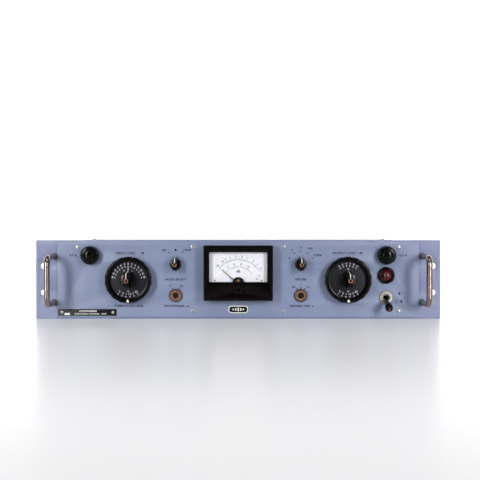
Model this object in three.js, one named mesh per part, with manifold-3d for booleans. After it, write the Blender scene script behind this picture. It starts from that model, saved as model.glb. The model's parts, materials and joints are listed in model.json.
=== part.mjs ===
// Rack compressor for a broadcast studio: a two-layer 19 inch panel with bar handles, two
// concentric dials, a meter and its controls, in front of a sheet-metal chassis.
// Millimetres. X runs to the right of the front, Y to the rear and Z up. The pieces are placed in
// the panel's frame, where y = 0 is the rack plate's front face and z = 0 its lower edge.

import * as THREE from "three";
import { mergeVertices } from "three/addons/utils/BufferGeometryUtils.js";
import Module from "manifold-3d";

const wasm = await Module();
wasm.setup();

// ---- Driving dimensions ------------------------------------------------------------------

const GAP = 0.3; // clearance between pieces that rest on each other
const PANEL = { width: 482.6, height: 94, thick: 3 };
const FACE = { width: 431.2, height: 90.4, thick: 2 };
const RACK_HOLE = { x: 232.55, rise: 15.875, radius: 3.5 };
const CHASSIS = { width: 430, depth: 245, top: 90.5, sheet: 1.5, flange: 12 };
const HANDLE = { x: 219.8, lowZ: 19.5, highZ: 74.5, reach: 39.5, bar: 7, bend: 10 };
const FERRULE = { foot: 3.9, top: 3.7, height: 3.2 };
const SOCKET_REACH = 12; // how far the signal connector stands out of the rear panel

const FACE_Y = -(GAP + FACE.thick); // front surface of the front plate
const SEAT_Y = FACE_Y - GAP; // back of a piece that rests on the front plate
const REAR_Y = PANEL.thick + GAP; // front of a piece that rests behind the rack plate
const CENTRE_Y = (CHASSIS.depth + SOCKET_REACH - HANDLE.reach - HANDLE.bar / 2) / 2;

const DIALS = { input: [-130, 47], output: [130, 47] };
const SELECTORS = { mode: [-74.5, 65], meter_select: [74.5, 65] };
const TRIMMERS = { emphasis: [-74.5, 28], release: [74.5, 28] };
const FUSES = { left: [-176, 76], right: [176, 76] };
const LAMP = [176, 52];
const TOGGLE = [176, 25.6];

const RING = { radius: 27.5, scallop: 0.8, lobes: 18, bore: 21.9, height: 13, web: 2.5, tube: 8 };
const DIAL_PLATE = { radius: 21.5, height: 8.4, thick: 1.2, hub: 6 };
const DIAL_SHAFTS = { ringEnd: 16, plateEnd: 20, knobEnd: 24 }; // one within the other
const DIAL_KNOB = {
  base: 9.5, baseHeight: 5, width: 7, height: 21, shaft: 3.3,
  tipTop: 8.3, tipFoot: 10.5, tailTop: 7, tailFoot: 9.5,
};
const SMALL_KNOB = {
  base: 7, baseHeight: 4.5, width: 5.5, height: 18, shaft: 3, shaftEnd: 10,
  tipTop: 7.5, tipFoot: 9, tailTop: 6.5, tailFoot: 8,
};
const BUSH = { flange: 7.85, height: 3, barrel: 5, bore: 3.3, end: 12 };
const SPINDLE = { radius: 2.9, front: 1.4, end: 14, slotWidth: 0.9, slotDepth: 1.4 };
const FUSE = { radius: 2.5, length: 20, front: -1.7 };
const FUSE_HOLDER = { flange: 9, barrel: 7.5, bore: 5.2, end: 38 };
const FUSE_CAP = { radius: 11.25, height: 12, stem: 4.8, stemEnd: 4 };
const BEZEL = { radius: 10, height: 4.7, barrel: 7, bore: 5.9, end: 20 };
const LENS = { radius: 6.5, height: 8.7, stem: 5.5, stemEnd: 2 };
const BUSHING = { radius: 5.8, front: 3.5, bore: 4.2, floor: 2 };
const LEVER = { pivotY: -1, ball: 2.8, length: 29.5, neck: 1.5, root: 2.8, bat: 4.7, tiltDegrees: 24 };
const METER = { width: 81.5, low: 22.9, high: 87.8, height: 16, front: 1.8, barrel: 25, end: 38 };
const GLASS = 1; // thickness
const POCKET = { halfWidth: 36.5, low: 37, high: 83.5, floorY: -10.6 };
const WINDOW = { halfWidth: 34, low: 45, high: 80 };
const PIVOT_COVER = { radius: 7.4, rise: 1.5, below: 4, frontY: -14.9, backY: -14.5 };
const NEEDLE = { pivotZ: 42, y: -13.4, length: 31, width: 0.8, thick: 0.5, restDegrees: 42, hub: 2 };
const ZERO_SCREW = { z: 34, radius: 3 };
const NAME_PLATE = { x: -179.8, z: 7.8, width: 69.5, height: 7.8, thick: 0.8 };
const BADGE = { z: 11.4, width: 23.5, height: 8.8, thick: 1.5 };
const INLET = { x: -160, z: 45, width: 27.6, height: 20, recessDepth: 15 };
const CONNECTOR = { x: 120, z: 45, width: 46, height: 16, recessDepth: 10 };

// ---- Finishes ----------------------------------------------------------------------------

const PAINT = { color: 0x858aa8, roughness: 0.5, metalness: 0.2 };
const SHEET_STEEL = { color: 0x9a9c9f, roughness: 0.45, metalness: 0.9 };
const NICKEL = { color: 0xc4bfb4, roughness: 0.25, metalness: 1 };
const BRASS = { color: 0xa8874a, roughness: 0.35, metalness: 1 };
const BLACK_GLOSS = { color: 0x0c0c0e, roughness: 0.2, metalness: 0 };
const DIAL_GREY = { color: 0x33343f, roughness: 0.5, metalness: 0 };
const BROWN_BAKELITE = { color: 0x5a3a26, roughness: 0.35, metalness: 0 };
const RED_LENS = { color: 0xa01818, roughness: 0.1, metalness: 0 };
const CLEAR = { color: 0xf4f6f8, roughness: 0.05, metalness: 0 };
const WHITE_CARD = { color: 0xe9e9ee, roughness: 0.6, metalness: 0 };
const BOARD_BROWN = { color: 0x7c5f33, roughness: 0.6, metalness: 0 };
const CORE_STEEL = { color: 0x55534f, roughness: 0.5, metalness: 0.7 };

// ---- Making and joining solids -----------------------------------------------------------

const WELD_DISTANCE = 1e-4;

function signedVolume(geometry) {
  const corners = [new THREE.Vector3(), new THREE.Vector3(), new THREE.Vector3()];
  let total = 0;
  for (let i = 0; i < geometry.index.count; i += 3) {
    corners.forEach((v, k) => v.fromBufferAttribute(geometry.attributes.position,
      geometry.index.getX(i + k)));
    total += corners[0].dot(corners[1].clone().cross(corners[2])) / 6;
  }
  return total;
}

// One closed, outward-facing surface with shared vertices and no empty triangles.
function weld(geometry) {
  geometry.deleteAttribute("normal");
  geometry.deleteAttribute("uv");
  const merged = mergeVertices(geometry, WELD_DISTANCE);
  const triangles = [];
  for (let i = 0; i < merged.index.count; i += 3) {
    const corners = [0, 1, 2].map((k) => merged.index.getX(i + k));
    if (new Set(corners).size === 3) triangles.push(corners);
  }
  merged.setIndex(triangles.flat());
  if (signedVolume(merged) < 0) merged.setIndex(triangles.flatMap((t) => t.reverse()));
  return merged;
}

function toManifold(geometry) {
  const { attributes, index } = weld(geometry);
  const vertProperties = Float32Array.from(attributes.position.array);
  const triVerts = Uint32Array.from(index.array);
  return new wasm.Manifold(new wasm.Mesh({ numProp: 3, vertProperties, triVerts }));
}

function toGeometry(manifold) {
  const { vertProperties, triVerts } = manifold.getMesh();
  const geometry = new THREE.BufferGeometry();
  geometry.setAttribute("position", new THREE.BufferAttribute(vertProperties, 3));
  geometry.setIndex(new THREE.BufferAttribute(triVerts, 1));
  return geometry;
}

function joined(...pieces) {
  return toGeometry(pieces.map(toManifold).reduce((whole, piece) => whole.add(piece)));
}

function cut(blank, ...tools) {
  return toGeometry(tools.map(toManifold).reduce((rest, tool) => rest.subtract(tool),
    toManifold(blank)));
}

function block(x0, x1, y0, y1, z0, z1) {
  return new THREE.BoxGeometry(x1 - x0, y1 - y0, z1 - z0)
    .translate((x0 + x1) / 2, (y0 + y1) / 2, (z0 + z1) / 2);
}

// A solid of revolution about the Y axis, from [radius, y] points.
function turned(profile, sides) {
  return new THREE.LatheGeometry(profile.map(([radius, y]) => new THREE.Vector2(radius, y)), sides);
}

function rod(radius, y0, y1, sides) {
  return turned([[0, y0], [radius, y0], [radius, y1], [0, y1]], sides);
}

function tube(inner, outer, y0, y1, sides) {
  return turned([[inner, y0], [outer, y0], [outer, y1], [inner, y1], [inner, y0]], sides);
}

function post(x, y, radius, z0, z1, sides) {
  return new THREE.CylinderGeometry(radius, radius, z1 - z0, sides)
    .rotateX(Math.PI / 2).translate(x, y, (z0 + z1) / 2);
}

function polarPoints(count, radiusAt, [x, z] = [0, 0]) {
  return Array.from({ length: count }, (_, i) => {
    const angle = (2 * Math.PI * i) / count;
    return new THREE.Vector2(x + radiusAt(angle) * Math.cos(angle),
      z + radiusAt(angle) * Math.sin(angle));
  });
}

function circle(place, radius, sides) {
  return polarPoints(sides, () => radius, place);
}

function rectangle(x0, x1, z0, z1) {
  return [[x0, z0], [x1, z0], [x1, z1], [x0, z1]].map(([x, z]) => new THREE.Vector2(x, z));
}

function extruded(outline, holes, depth) {
  const shape = new THREE.Shape(outline);
  shape.holes = holes.map((points) => new THREE.Path(points));
  return new THREE.ExtrudeGeometry(shape, { depth, bevelEnabled: false });
}

// A flat piece that stands upright: its outline is in X and Z.
function upright(outline, holes, yFront, yBack) {
  return extruded(outline, holes, yBack - yFront).rotateX(Math.PI / 2).translate(0, yBack, 0);
}

// ---- The assembly ------------------------------------------------------------------------

const compressor = new THREE.Group();
compressor.position.y = -CENTRE_Y;

function add(name, geometry, finish, [x, z] = [0, 0]) {
  const mesh = new THREE.Mesh(weld(geometry), new THREE.MeshStandardMaterial(finish));
  mesh.name = name;
  mesh.position.set(x, 0, z);
  compressor.add(mesh);
}

// ---- Panel -------------------------------------------------------------------------------

const PANEL_HOLES = [
  ...Object.values(DIALS).map((place) => circle(place, RING.tube + GAP, 16)),
  ...Object.values(SELECTORS).map((place) => circle(place, SMALL_KNOB.shaft + GAP, 8)),
  ...Object.values(TRIMMERS).map((place) => circle(place, BUSH.barrel + GAP, 12)),
  ...Object.values(FUSES).map((place) => circle(place, FUSE_HOLDER.barrel + GAP, 12)),
  circle(LAMP, BEZEL.barrel + GAP, 12),
  circle(TOGGLE, BUSHING.radius + GAP, 12),
  circle([0, (METER.low + METER.high) / 2], METER.barrel + 2 * GAP, 24),
];

function addPanel() {
  const rackHoles = [-1, 1].flatMap((side) => [-1, 1].map((up) =>
    circle([side * RACK_HOLE.x, PANEL.height / 2 + up * RACK_HOLE.rise], RACK_HOLE.radius, 12)));
  const plate = rectangle(-PANEL.width / 2, PANEL.width / 2, 0, PANEL.height);
  add("rack_plate", upright(plate, [...PANEL_HOLES, ...rackHoles], 0, PANEL.thick), PAINT);
  const margin = (PANEL.height - FACE.height) / 2;
  const face = rectangle(-FACE.width / 2, FACE.width / 2, margin, margin + FACE.height);
  add("front_plate", upright(face, PANEL_HOLES, FACE_Y, -GAP), PAINT);
}

// ---- Handles -----------------------------------------------------------------------------

function handleBar() {
  const { lowZ, highZ, reach, bend } = HANDLE;
  const footY = -(2 * GAP + FERRULE.height);
  const frontY = -reach;
  const path = new THREE.CurvePath();
  const at = (y, z) => new THREE.Vector3(0, y, z);
  path.add(new THREE.LineCurve3(at(footY, lowZ), at(frontY + bend, lowZ)));
  path.add(new THREE.QuadraticBezierCurve3(at(frontY + bend, lowZ), at(frontY, lowZ),
    at(frontY, lowZ + bend)));
  path.add(new THREE.LineCurve3(at(frontY, lowZ + bend), at(frontY, highZ - bend)));
  path.add(new THREE.QuadraticBezierCurve3(at(frontY, highZ - bend), at(frontY, highZ),
    at(frontY + bend, highZ)));
  path.add(new THREE.LineCurve3(at(frontY + bend, highZ), at(footY, highZ)));
  const section = new THREE.Shape(circle([0, 0], HANDLE.bar / 2, 8));
  return new THREE.ExtrudeGeometry(section, { steps: 26, extrudePath: path });
}

function addHandles() {
  const collar = [[0, -GAP], [FERRULE.foot, -GAP], [FERRULE.foot, -GAP - FERRULE.height * 0.6],
    [FERRULE.top, -GAP - FERRULE.height], [0, -GAP - FERRULE.height]];
  for (const [side, x] of [["left", -HANDLE.x], ["right", HANDLE.x]]) {
    add(`handle_${side}`, handleBar(), NICKEL, [x, 0]);
    add(`ferrule_${side}_lower`, turned(collar, 12), BRASS, [x, HANDLE.lowZ]);
    add(`ferrule_${side}_upper`, turned(collar, 12), BRASS, [x, HANDLE.highZ]);
  }
}

// ---- Rotary switches behind the panel ----------------------------------------------------

const WAFER = { lead: 4, thick: 1.6, pitch: 9, pillar: 1.5, inset: 2, wall: 2.5 };
const WAFER_RADIUS = { dial: 19, selector: 13, trimmer: 9 };
const SHAFT_ROOM = 1; // left behind the end of a shaft in its switch

// A stack of wafers on a column, on two pillars that reach the rack plate. The bores go into the
// front of the column: each is [radius, y of its bottom], the widest one first.
function waferSwitch(radius, frontY, wafers, bores) {
  const profile = [];
  for (const [bore, bottomY] of [...bores].reverse()) {
    const inner = profile.length ? profile.at(-1)[0] : 0;
    profile.push([inner, bottomY], [bore, bottomY]);
  }
  const column = bores[0][0] + WAFER.wall;
  profile.push([bores[0][0], frontY], [column, frontY]);
  let y = frontY + WAFER.lead;
  for (let i = 0; i < wafers; i += 1) {
    profile.push([column, y], [radius, y], [radius, y + WAFER.thick], [column, y + WAFER.thick]);
    y += WAFER.pitch;
  }
  profile.push([column, y], [0, y]);
  const pillars = [-1, 1].map((side) =>
    rod(WAFER.pillar, REAR_Y, y - WAFER.pitch + 1, 8).translate(side * (radius - WAFER.inset), 0, 0));
  return joined(turned(profile, 12), ...pillars);
}

// ---- Pointer knobs -----------------------------------------------------------------------

// A round base, a wing whose ends lean outward to the foot, and a shaft to the rear.
function pointerKnob(knob, seatY, shaftEndY) {
  const side = [[-knob.tailFoot, 0.5], [knob.tipFoot, 0.5], [knob.tipFoot, knob.baseHeight],
    [knob.tipTop, knob.height], [-knob.tailTop, knob.height], [-knob.tailFoot, knob.baseHeight]];
  const wing = extruded(side.map(([along, up]) => new THREE.Vector2(along, up)), [], knob.width);
  wing.applyMatrix4(new THREE.Matrix4().makeBasis(new THREE.Vector3(0, 0, 1),
    new THREE.Vector3(0, -1, 0), new THREE.Vector3(1, 0, 0)));
  wing.translate(-knob.width / 2, seatY, 0);
  const base = rod(knob.base, seatY - knob.baseHeight, seatY, 20);
  const shaft = rod(knob.shaft, seatY - 1, shaftEndY, 10);
  return joined(base, wing, shaft);
}

// ---- Concentric dials: an outer ring, a fixed numeral plate and an inner knob ------------

function dialRing() {
  const { radius, scallop, lobes, bore, height, web, tube: tubeRadius } = RING;
  const backY = FACE_Y - 0.7;
  const frontY = FACE_Y - height;
  const edge = (angle) => radius - scallop * (0.5 - 0.5 * Math.cos(lobes * angle));
  const rim = upright(polarPoints(lobes * 4, edge), [], frontY, backY);
  const well = rod(bore, frontY - 1, backY - web, 24);
  const neck = rod(tubeRadius, backY - 1, DIAL_SHAFTS.ringEnd, 16);
  const centre = rod(DIAL_PLATE.hub + GAP, frontY - 1, DIAL_SHAFTS.ringEnd + 1, 16);
  return cut(joined(cut(rim, well), neck), centre);
}

function dialPlate() {
  const frontY = FACE_Y - DIAL_PLATE.height;
  const backY = frontY + DIAL_PLATE.thick;
  const bore = DIAL_KNOB.shaft + GAP;
  const { radius, hub } = DIAL_PLATE;
  return turned([[bore, frontY], [radius, frontY], [radius, backY], [hub, backY],
    [hub, DIAL_SHAFTS.plateEnd], [bore, DIAL_SHAFTS.plateEnd], [bore, frontY]], 24);
}

function addDials() {
  const knobSeatY = FACE_Y - DIAL_PLATE.height - GAP;
  const { ringEnd, plateEnd, knobEnd } = DIAL_SHAFTS;
  for (const [name, place] of Object.entries(DIALS)) {
    add(`${name}_dial_ring`, dialRing(), BLACK_GLOSS, place);
    add(`${name}_dial_plate`, dialPlate(), DIAL_GREY, place);
    add(`${name}_dial_knob`, pointerKnob(DIAL_KNOB, knobSeatY, knobEnd), BLACK_GLOSS,
      place);
    const bores = [[DIAL_PLATE.hub + GAP, plateEnd + GAP],
      [DIAL_KNOB.shaft + GAP, knobEnd + SHAFT_ROOM]];
    const dialSwitch = waferSwitch(WAFER_RADIUS.dial, ringEnd + 2 * GAP, 3, bores);
    add(`${name}_dial_switch`, dialSwitch, SHEET_STEEL, place);
  }
}

// ---- Small selectors and screwdriver switches --------------------------------------------

function addSelectors() {
  for (const [name, place] of Object.entries(SELECTORS)) {
    add(`${name}_knob`, pointerKnob(SMALL_KNOB, SEAT_Y, SMALL_KNOB.shaftEnd), BLACK_GLOSS, place);
    const bores = [[SMALL_KNOB.shaft + GAP, SMALL_KNOB.shaftEnd + SHAFT_ROOM]];
    const selector = waferSwitch(WAFER_RADIUS.selector, REAR_Y, 2, bores);
    add(`${name}_switch`, selector, SHEET_STEEL, place);
  }
}

function trimmerBush() {
  const { flange, height, barrel, bore, end } = BUSH;
  return turned([[bore, SEAT_Y - height], [flange - 1, SEAT_Y - height],
    [flange, SEAT_Y - height + 1], [flange, SEAT_Y], [barrel, SEAT_Y], [barrel, end], [bore, end],
    [bore, SEAT_Y - height]], 16);
}

function trimmerSpindle() {
  const frontY = SEAT_Y - SPINDLE.front;
  const { radius, slotWidth, slotDepth } = SPINDLE;
  const slot = block(-slotWidth / 2, slotWidth / 2, frontY - 1, frontY + slotDepth,
    -radius - 1, radius + 1);
  return cut(rod(radius, frontY, SPINDLE.end, 12), slot);
}

function addTrimmers() {
  for (const [name, place] of Object.entries(TRIMMERS)) {
    add(`${name}_bush`, trimmerBush(), BROWN_BAKELITE, place);
    add(`${name}_spindle`, trimmerSpindle(), NICKEL, place);
    const bores = [[SPINDLE.radius + GAP, SPINDLE.end + SHAFT_ROOM]];
    const trimmer = waferSwitch(WAFER_RADIUS.trimmer, BUSH.end + GAP, 1, bores);
    add(`${name}_switch`, trimmer, SHEET_STEEL, place);
  }
}

// ---- Fuses -------------------------------------------------------------------------------

function fuseHolder() {
  const { flange, barrel, bore, end } = FUSE_HOLDER;
  return turned([[0, end], [barrel, end], [barrel, SEAT_Y], [flange, SEAT_Y],
    [flange, SEAT_Y - 1.5], [bore, SEAT_Y - 1.5], [bore, end - 2], [0, end - 2]], 12);
}

function fuseCap() {
  const { radius, height, stem, stemEnd } = FUSE_CAP;
  const seatY = SEAT_Y - 1.5 - GAP;
  const topY = FACE_Y - height;
  const bore = FUSE.radius + GAP;
  return turned([[0, stemEnd - 6], [bore, stemEnd - 6], [bore, stemEnd], [stem, stemEnd],
    [stem, seatY], [radius, seatY], [radius, seatY - 3], [radius * 0.93, topY + 3],
    [radius * 0.72, topY + 0.9], [radius * 0.4, topY], [0, topY]], 20);
}

function addFuses() {
  for (const [side, place] of Object.entries(FUSES)) {
    add(`fuse_holder_${side}`, fuseHolder(), BLACK_GLOSS, place);
    add(`fuse_cap_${side}`, fuseCap(), BLACK_GLOSS, place);
    add(`fuse_${side}`, rod(FUSE.radius, FUSE.front, FUSE.front + FUSE.length, 12), CLEAR, place);
  }
}

// ---- Lamp --------------------------------------------------------------------------------

function addLamp() {
  const frontY = FACE_Y - BEZEL.height;
  const seat = LENS.radius + GAP;
  const bezel = [[seat, frontY], [BEZEL.radius - 1.5, frontY], [BEZEL.radius, frontY + 1.5],
    [BEZEL.radius, SEAT_Y], [BEZEL.barrel, SEAT_Y], [BEZEL.barrel, BEZEL.end],
    [BEZEL.bore, BEZEL.end], [BEZEL.bore, SEAT_Y], [seat, SEAT_Y], [seat, frontY]];
  add("lamp_bezel", turned(bezel, 16), BLACK_GLOSS, LAMP);

  const topY = FACE_Y - LENS.height;
  const rimY = SEAT_Y - GAP;
  const wall = 1.3;
  const lens = [[0, topY], [LENS.radius * 0.5, topY + 0.6], [LENS.radius * 0.86, topY + 2.2],
    [LENS.radius, topY + 4.4], [LENS.radius, rimY], [LENS.stem, rimY], [LENS.stem, LENS.stemEnd],
    [LENS.stem - wall, LENS.stemEnd], [LENS.stem - wall, topY + 4], [0, topY + 2.5]];
  add("lamp_lens", turned(lens, 16), RED_LENS, LAMP);

  const bulb = [[0, -3], [2.2, -2], [3.4, 1], [3.4, 5], [4.6, 6], [4.6, 26], [0, 26]];
  add("lamp_bulb", turned(bulb, 12), CLEAR, LAMP);
}

// ---- Toggle switch -----------------------------------------------------------------------

function addToggle() {
  const frontY = FACE_Y - BUSHING.front;
  const box = block(-7, 7, REAR_Y, 27, -14, 14);
  const bushing = rod(BUSHING.radius, frontY, REAR_Y + 1, 16);
  const bore = rod(BUSHING.bore, frontY - 1, BUSHING.floor, 16);
  add("toggle_body", cut(joined(box, bushing), bore), SHEET_STEEL, TOGGLE);

  add("toggle_nut", tube(BUSHING.radius + GAP, 7.5, SEAT_Y - 2.4, SEAT_Y, 16), BRASS, TOGGLE);

  const { ball, length, neck, root, bat, tiltDegrees, pivotY } = LEVER;
  const lever = turned([[0, ball], [ball * 0.7, ball * 0.7], [ball, 0], [ball * 0.7, -ball * 0.7],
    [neck, -ball], [neck, -8], [root, -8.5], [bat, -length + 5], [bat * 0.93, -length + 1.5],
    [bat * 0.62, -length], [0, -length]], 12);
  lever.rotateX(THREE.MathUtils.degToRad(tiltDegrees)).translate(0, pivotY, 0);
  add("toggle_lever", lever, BLACK_GLOSS, TOGGLE);
}

// ---- Meter -------------------------------------------------------------------------------

function addMeter() {
  const { width, low, high, height, front, barrel, end } = METER;
  const frontY = FACE_Y - height;
  const splitY = frontY + front;
  const middleZ = (low + high) / 2;
  const shell = block(-width / 2, width / 2, splitY + GAP, SEAT_Y, low, high);
  const drum = rod(barrel, SEAT_Y - 1, end, 24).translate(0, 0, middleZ);
  const pocket = block(-POCKET.halfWidth, POCKET.halfWidth, splitY - 1, POCKET.floorY,
    POCKET.low, POCKET.high);
  add("meter_case", cut(joined(shell, drum), pocket), BLACK_GLOSS);

  const outline = rectangle(-width / 2, width / 2, low, high);
  const opening = rectangle(-WINDOW.halfWidth, WINDOW.halfWidth, WINDOW.low, WINDOW.high);
  const screwHole = circle([0, ZERO_SCREW.z], ZERO_SCREW.radius + GAP, 16);
  add("meter_front", upright(outline, [opening, screwHole], frontY, splitY), BLACK_GLOSS);

  const inPocket = (margin, y0, y1) => block(-POCKET.halfWidth + margin, POCKET.halfWidth - margin,
    y0, y1, POCKET.low + margin, POCKET.high - margin);
  add("meter_glass", inPocket(GAP, splitY + GAP, splitY + GAP + GLASS), CLEAR);
  add("meter_scale", inPocket(1, POCKET.floorY - GAP - 0.8, POCKET.floorY - GAP), WHITE_CARD);

  addNeedle();
  const disc = circle([0, 0], PIVOT_COVER.radius, 24);
  const cover = disc.filter((point) => point.y > -PIVOT_COVER.below);
  add("meter_pivot_cover", upright(cover, [], PIVOT_COVER.frontY, PIVOT_COVER.backY), BLACK_GLOSS,
    [0, NEEDLE.pivotZ + PIVOT_COVER.rise]);

  const slotted = cut(rod(ZERO_SCREW.radius, frontY - 0.6, splitY - GAP, 16),
    block(-0.5, 0.5, frontY - 1, frontY + 0.8, -4, 4));
  add("meter_zero_adjust", slotted, BLACK_GLOSS, [0, ZERO_SCREW.z]);
}

function addNeedle() {
  const { pivotZ, y, length, width, thick, restDegrees, hub } = NEEDLE;
  const pointer = upright(rectangle(-length, 5, -width / 2, width / 2), [], y - thick / 2,
    y + thick / 2).rotateY(THREE.MathUtils.degToRad(restDegrees));
  const boss = rod(hub, y - 0.8, y + 1.2, 12);
  add("meter_needle", joined(pointer, boss), BLACK_GLOSS, [0, pivotZ]);
}

// ---- Nameplate and badge -----------------------------------------------------------------

function addPlates() {
  const { x, z, width, height, thick } = NAME_PLATE;
  add("name_plate", block(-width / 2, width / 2, SEAT_Y - thick, SEAT_Y, -height / 2, height / 2),
    BLACK_GLOSS, [x, z]);
  const end = BADGE.height / 2;
  const pill = circle([0, 0], end, 24).map((p) =>
    new THREE.Vector2(p.x + Math.sign(Math.round(p.x)) * (BADGE.width / 2 - end), p.y));
  add("badge", upright(pill, [], SEAT_Y - BADGE.thick, SEAT_Y), BLACK_GLOSS, [0, BADGE.z]);
}

// ---- Chassis -----------------------------------------------------------------------------

const VENT = { columns: 6, rows: 3, length: 44, width: 4, columnPitch: 54, rowPitch: 16, y: 155 };

function ventedSheet(zLow, zHigh) {
  const half = CHASSIS.width / 2;
  const slots = Array.from({ length: VENT.columns * VENT.rows }, (_, i) => {
    const x = ((i % VENT.columns) - (VENT.columns - 1) / 2) * VENT.columnPitch;
    const y = VENT.y + Math.floor(i / VENT.columns) * VENT.rowPitch;
    return block(x - VENT.length / 2, x + VENT.length / 2, y, y + VENT.width, zLow - 1, zHigh + 1);
  });
  return cut(block(-half, half, REAR_Y, CHASSIS.depth, zLow, zHigh), ...slots);
}

function addChassis() {
  const { width, depth, top, sheet, flange } = CHASSIS;
  const half = width / 2;
  const low = sheet + GAP;
  const high = top - sheet - GAP;
  const channel = [[0, low], [flange, low], [flange, low + sheet], [sheet, low + sheet],
    [sheet, high - sheet], [flange, high - sheet], [flange, high], [0, high]];
  for (const [name, side] of [["left", -1], ["right", 1]]) {
    const section = channel.map(([inward, z]) => new THREE.Vector2(side * (half - inward), z));
    add(`side_plate_${name}`, upright(section, [], REAR_Y, depth - sheet - GAP), PAINT);
  }
  add("top_cover", ventedSheet(top - sheet, top), PAINT);
  add("bottom_cover", ventedSheet(0, sheet), PAINT);

  const hole = ({ x, z, width: w, height: h }) => rectangle(x - w / 2 - GAP, x + w / 2 + GAP,
    z - h / 2 - GAP, z + h / 2 + GAP);
  add("rear_panel", upright(rectangle(-half, half, low, high), [hole(INLET), hole(CONNECTOR)],
    depth - sheet, depth), PAINT);
}

// A flanged socket in the rear panel with a recess that opens to the rear, and its contacts.
function rearSocket({ width, height, recessDepth }, flange, reach, contacts) {
  const { depth } = CHASSIS;
  const wall = 1.5;
  const backY = depth + reach;
  const shell = block(-width / 2, width / 2, depth - 14, backY, -height / 2, height / 2);
  const lip = block(-width / 2 - flange, width / 2 + flange, depth + GAP, depth + 2.5,
    -height / 2 - 3, height / 2 + 3);
  const recess = block(-width / 2 + wall, width / 2 - wall, backY - recessDepth, backY + 1,
    -height / 2 + wall, height / 2 - wall);
  const pins = contacts.map(([x, z]) =>
    block(x - 1, x + 1, backY - recessDepth - 1, backY - recessDepth / 2, z - 1.5, z + 1.5));
  return joined(cut(joined(shell, lip), recess), ...pins);
}

function addSockets() {
  const power = [[-7, -2], [0, 3], [7, -2]];
  add("mains_inlet", rearSocket(INLET, 11, 2.5, power), BLACK_GLOSS, [INLET.x, INLET.z]);
  const signal = Array.from({ length: 10 }, (_, i) => [(i % 5 - 2) * 8, i < 5 ? -3 : 3]);
  add("signal_connector", rearSocket(CONNECTOR, 9, SOCKET_REACH, signal), NICKEL,
    [CONNECTOR.x, CONNECTOR.z]);
}

// ---- Inside ------------------------------------------------------------------------------

const FLOOR_Z = CHASSIS.sheet + GAP; // upper side of the bottom cover, with the clearance

function addTransformers() {
  const core = block(-33, 33, -20, 20, FLOOR_Z, FLOOR_Z + 56);
  const coil = block(-21, 21, -32, 32, FLOOR_Z + 10, FLOOR_Z + 46);
  const foot = block(-40, 40, -14, 14, FLOOR_Z, FLOOR_Z + 2);
  add("mains_transformer", joined(core, coil, foot).translate(-150, 180, 0), CORE_STEEL);
  for (const [name, x] of [["input", 60], ["output", 160]]) {
    const can = post(x, 190, 17, FLOOR_Z, FLOOR_Z + 44, 20);
    const plinth = block(x - 24, x + 24, 173, 207, FLOOR_Z, FLOOR_Z + 2);
    add(`${name}_transformer`, joined(can, plinth), SHEET_STEEL);
  }
  add("smoothing_capacitor", post(-85, 190, 16, FLOOR_Z, FLOOR_Z + 62, 20), SHEET_STEEL);
}

const COMPONENT_PITCH = 30;

// A board on four legs, with upright cans and flat parts on a grid.
function componentBoard(x0, x1, y0, y1, z, canHeight) {
  const board = block(x0, x1, y0, y1, z, z + 1.6);
  const legs = [x0 + 6, x1 - 6].flatMap((x) => [y0 + 6, y1 - 6].map((y) =>
    post(x, y, 2.5, FLOOR_Z, z + 1, 8)));
  const columns = Math.floor((x1 - x0 - 24) / COMPONENT_PITCH);
  const cans = Array.from({ length: columns }, (_, i) =>
    post(x0 + 22 + i * COMPONENT_PITCH, y0 + 18, 5, z + 1, z + canHeight, 8));
  const flats = Array.from({ length: columns }, (_, i) =>
    block(x0 + 16 + i * COMPONENT_PITCH, x0 + 28 + i * COMPONENT_PITCH, y0 + 36, y0 + 41,
      z + 1, z + 7));
  return joined(board, ...legs, ...cans, ...flats);
}

function addBoards() {
  add("amplifier_board", componentBoard(-50, 180, 85, 150, 14, 20), BOARD_BROWN);
  add("control_board", componentBoard(-195, -65, 85, 140, 14, 16), BOARD_BROWN);
}

addPanel();
addHandles();
addDials();
addSelectors();
addTrimmers();
addFuses();
addLamp();
addToggle();
addMeter();
addPlates();
addChassis();
addSockets();
addTransformers();
addBoards();

export default compressor;
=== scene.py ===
"""Looks of the rack compressor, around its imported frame.

Lengths are millimetres unless they are passed to Blender, where MM turns them into metres. A place
on the panel is (x, z): x to the right of the middle, z up from the lower edge. "Forward" is the
distance in front of the front plate's surface. A material's colours are given as sRGB.
"""

import json
import math
import random

import bmesh
import bpy
from mathutils import Matrix, Vector


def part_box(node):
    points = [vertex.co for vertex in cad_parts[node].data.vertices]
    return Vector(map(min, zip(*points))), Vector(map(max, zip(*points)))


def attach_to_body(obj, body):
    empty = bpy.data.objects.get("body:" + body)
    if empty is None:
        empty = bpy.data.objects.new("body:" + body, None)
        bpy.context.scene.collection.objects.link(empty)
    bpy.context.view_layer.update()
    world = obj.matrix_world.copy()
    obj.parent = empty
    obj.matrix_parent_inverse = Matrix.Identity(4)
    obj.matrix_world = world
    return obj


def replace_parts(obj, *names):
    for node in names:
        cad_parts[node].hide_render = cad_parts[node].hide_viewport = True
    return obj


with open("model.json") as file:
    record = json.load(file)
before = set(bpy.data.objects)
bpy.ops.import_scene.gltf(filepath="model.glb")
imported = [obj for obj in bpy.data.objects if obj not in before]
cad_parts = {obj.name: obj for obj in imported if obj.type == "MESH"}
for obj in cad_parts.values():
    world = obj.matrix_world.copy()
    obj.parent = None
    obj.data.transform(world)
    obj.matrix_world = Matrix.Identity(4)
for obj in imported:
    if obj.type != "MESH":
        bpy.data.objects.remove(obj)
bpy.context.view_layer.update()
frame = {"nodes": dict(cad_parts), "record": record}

MM = 0.001
RECORD = frame["record"]
BODY_OF = {n: body for body, nodes in RECORD["behaviour"]["bodies"].items() for n in nodes}
FACE_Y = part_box("front_plate")[0].y
CHASSIS_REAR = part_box("rear_panel")[1].y
SIDES = (-1, 1)
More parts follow.
